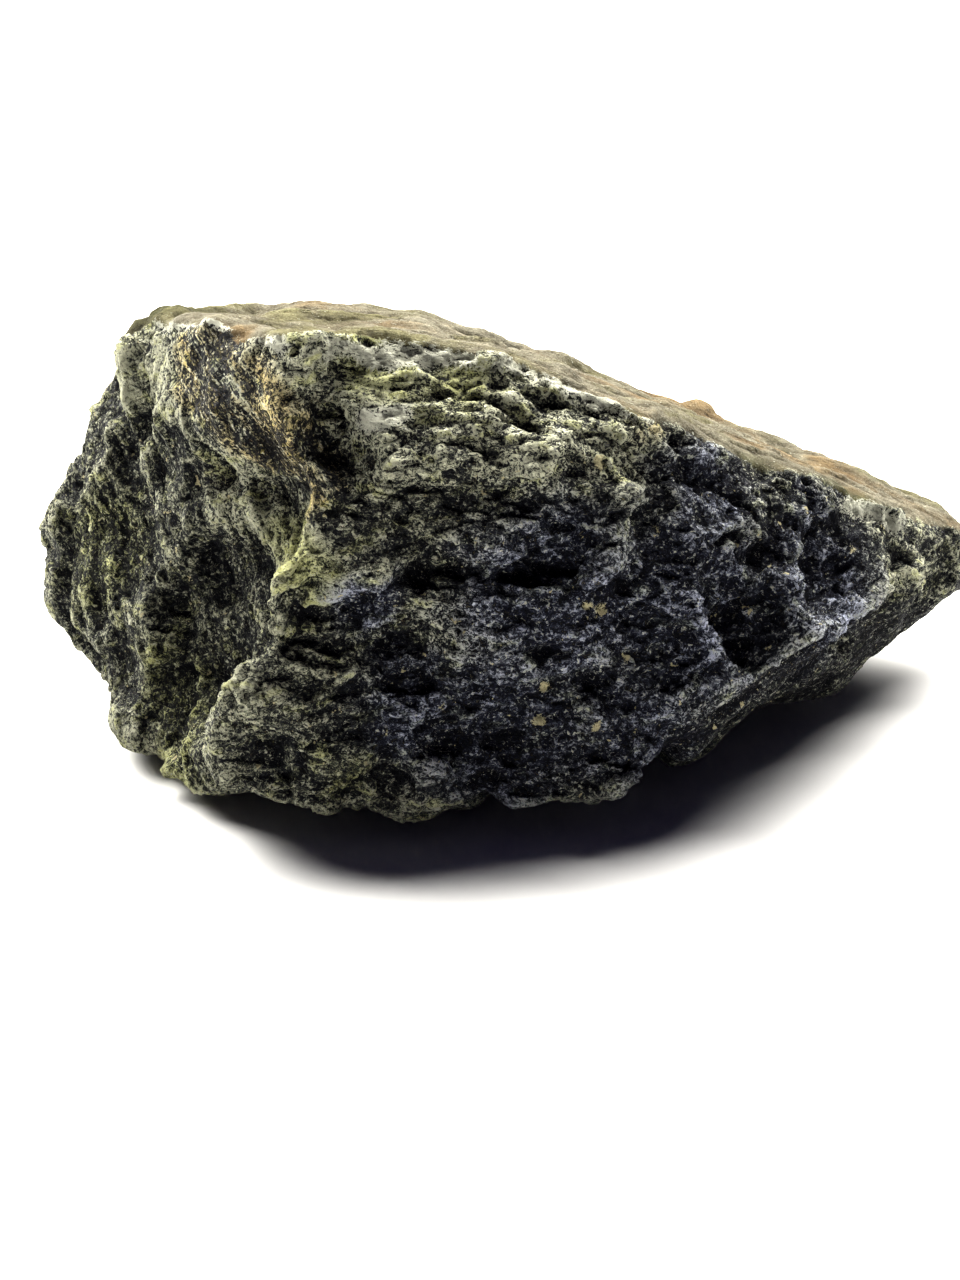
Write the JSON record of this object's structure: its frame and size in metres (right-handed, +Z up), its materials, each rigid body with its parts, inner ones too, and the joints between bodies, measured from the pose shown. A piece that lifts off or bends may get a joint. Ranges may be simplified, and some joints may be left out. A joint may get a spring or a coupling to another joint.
{
  "type": "raw serpentine stone",
  "caption": "Palm-sized broken wedge of raw serpentine, thick at one end and thin at the other, with a rough fresh front and a smoother weathered top, resting on a small flat spot.",
  "frame": {"origin": "middle of the stone's box in plan, at the level of the flat spot it rests on", "axes": "+X along the stone's length towards its thin tip, -Y out of the fresh broken front, +Z up"},
  "size_m": [0.081, 0.0522, 0.0362],
  "materials": {
    "serpentine": "rough broken rock: dark blue-green to black grains with grey-green, olive and rust patches, and a paler tan weathered top"
  },
  "bodies": {
    "root": {"stone": "serpentine"}
  },
  "joints": []
}
